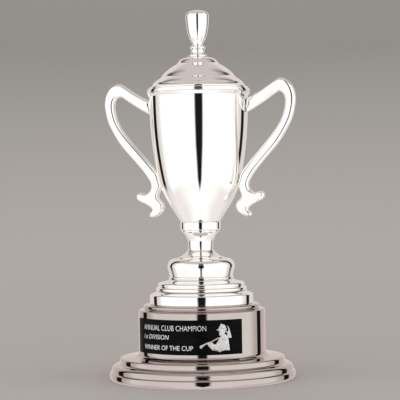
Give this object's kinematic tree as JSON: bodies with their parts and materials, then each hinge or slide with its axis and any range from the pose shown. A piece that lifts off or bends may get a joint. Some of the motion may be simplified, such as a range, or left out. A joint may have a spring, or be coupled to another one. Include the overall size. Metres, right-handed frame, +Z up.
{
  "type": "cup trophy",
  "caption": "Lidded presentation cup with two ear handles, a tulip finial, a waisted stem and a stepped foot, bolted to a round metal-clad plinth with a curved plaque.",
  "frame": {"origin": "centre of the underside, on the surface that the trophy stands on", "axes": "+Z up through the finial, X through the two handles, the plaque faces -Y"},
  "size_m": [0.1794, 0.1666, 0.3304],
  "materials": {
    "silver_plate": "mirror-polished bright plate",
    "smoked_plate": "mirror-polished plate in a warm grey, darker than the cup",
    "black_plaque": "gloss black enamel on thin brass, engraved",
    "steel_hardware": "zinc-plated",
    "fibre_gasket": "vulcanised fibre",
    "adhesive_film": "adhesive film",
    "core_wood": "turned, unfinished",
    "fibreboard": "pressed board",
    "ballast_iron": "as cast",
    "felt": "wool felt"
  },
  "bodies": {
    "cup": {"bowl": "silver_plate", "rim_wire": "silver_plate", "handle_left": "silver_plate", "handle_right": "silver_plate", "handle_screws": "steel_hardware", "handle_washers": "steel_hardware", "cup_nut": "steel_hardware", "cup_washer": "steel_hardware", "cup_gasket": "fibre_gasket", "tie_rod": "steel_hardware", "collar": "silver_plate", "stem": "silver_plate", "foot_cushion": "silver_plate", "foot_rings": "silver_plate", "foot_skirt": "silver_plate", "foot_disc": "steel_hardware", "plinth_cap": "smoked_plate", "plinth_band": "smoked_plate", "plinth_base": "smoked_plate", "plaque": "black_plaque", "plaque_tape": "adhesive_film", "plinth_core": "core_wood", "ballast_ring": "ballast_iron", "base_disc": "fibreboard", "rod_washer": "steel_hardware", "rod_lock_washer": "steel_hardware", "rod_nut": "steel_hardware", "felt_pad": "felt"},
    "lid": {"finial": "silver_plate", "lid_dome": "silver_plate", "lid_rim": "silver_plate", "lid_locating_ring": "silver_plate", "finial_screw": "steel_hardware", "finial_washer": "steel_hardware", "finial_lock_washer": "steel_hardware"}
  },
  "joints": [
    {"name": "lid_lift", "type": "slide", "parent": "cup", "child": "lid", "axis": [0, 0, 1], "range_m": [0, 0.08]}
  ]
}
